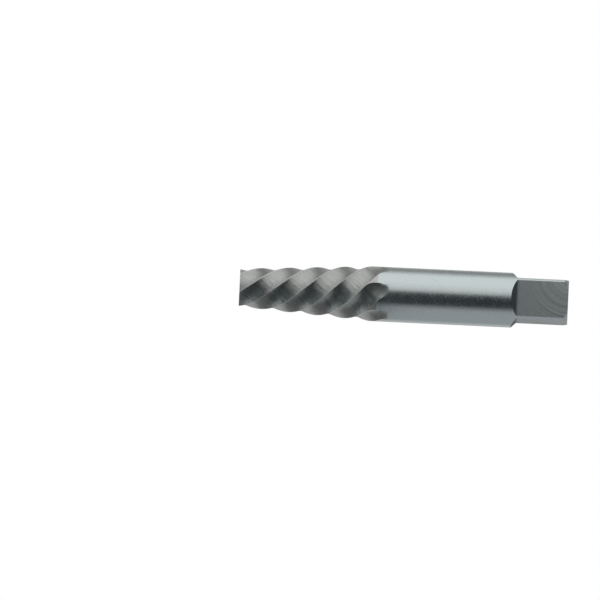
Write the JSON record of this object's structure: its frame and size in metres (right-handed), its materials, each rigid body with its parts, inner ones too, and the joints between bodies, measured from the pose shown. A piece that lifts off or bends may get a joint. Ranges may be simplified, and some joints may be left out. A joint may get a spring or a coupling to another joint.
{
  "type": "pipe nipple extractor",
  "caption": "Left-hand spiral screw extractor for a broken half-inch pipe nipple: tapered fluted end with sharp ridges, round shank, square drive end.",
  "frame": {"origin": "middle of the square drive end's face, on which the tool stands", "axes": "+Z along the tool's axis from the drive end up to the tip; the flats of the square face +X, -X, +Y and -Y"},
  "size_m": [0.0174, 0.0174, 0.1048],
  "materials": {
    "tool_steel": "satin ground tool steel: fine turning grain on the shank, grinding streaks across the flutes, milling arcs on the square"
  },
  "bodies": {
    "root": {"extractor": "tool_steel"}
  },
  "joints": []
}
